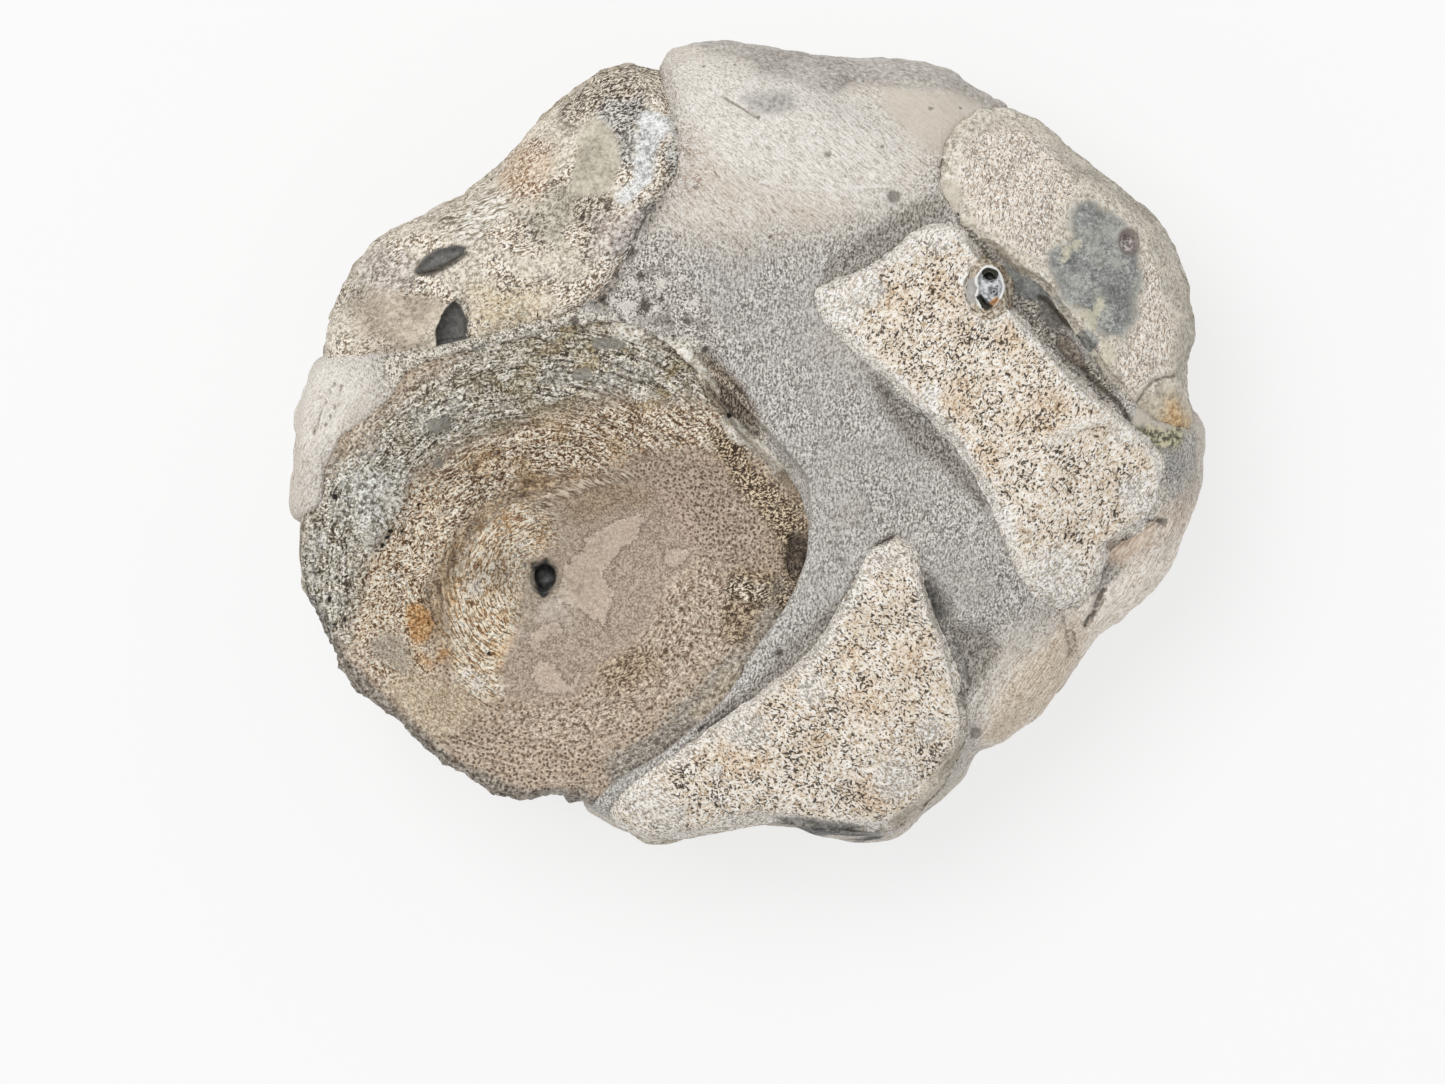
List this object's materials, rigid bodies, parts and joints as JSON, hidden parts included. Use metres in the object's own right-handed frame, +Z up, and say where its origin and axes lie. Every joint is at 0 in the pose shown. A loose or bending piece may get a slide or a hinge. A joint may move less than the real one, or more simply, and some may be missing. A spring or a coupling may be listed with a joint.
{
  "type": "fossil vertebrae in a stone nodule",
  "caption": "Water-worn stone nodule with fossil ichthyosaur vertebrae in it: one lies flat and shows its funnel-shaped hollow, and the others are cut through at the worn surface.",
  "frame": {"origin": "on the flat worn base, under the middle of the outline", "axes": "+Z up, out of the worn face that shows the bones; +X along the nodule's length, away from the flat-lying vertebra"},
  "size_m": [0.0556, 0.0491, 0.0209],
  "materials": {
    "stone": "fine-grained grey stone, worn smooth, with a cream weathered skin",
    "brown_bone": "petrified bone, finely pored, pinkish brown and ochre",
    "pale_bone": "petrified spongy bone, cream with dark pores",
    "calcite": "glossy grey-white calcite"
  },
  "bodies": {
    "root": {"stone_matrix": "stone", "flat_centrum": "brown_bone", "split_centrum": "pale_bone", "wedge_centrum": "pale_bone", "back_left_centrum": "pale_bone", "back_right_centrum": "pale_bone", "calcite_tube": "calcite"}
  },
  "joints": []
}
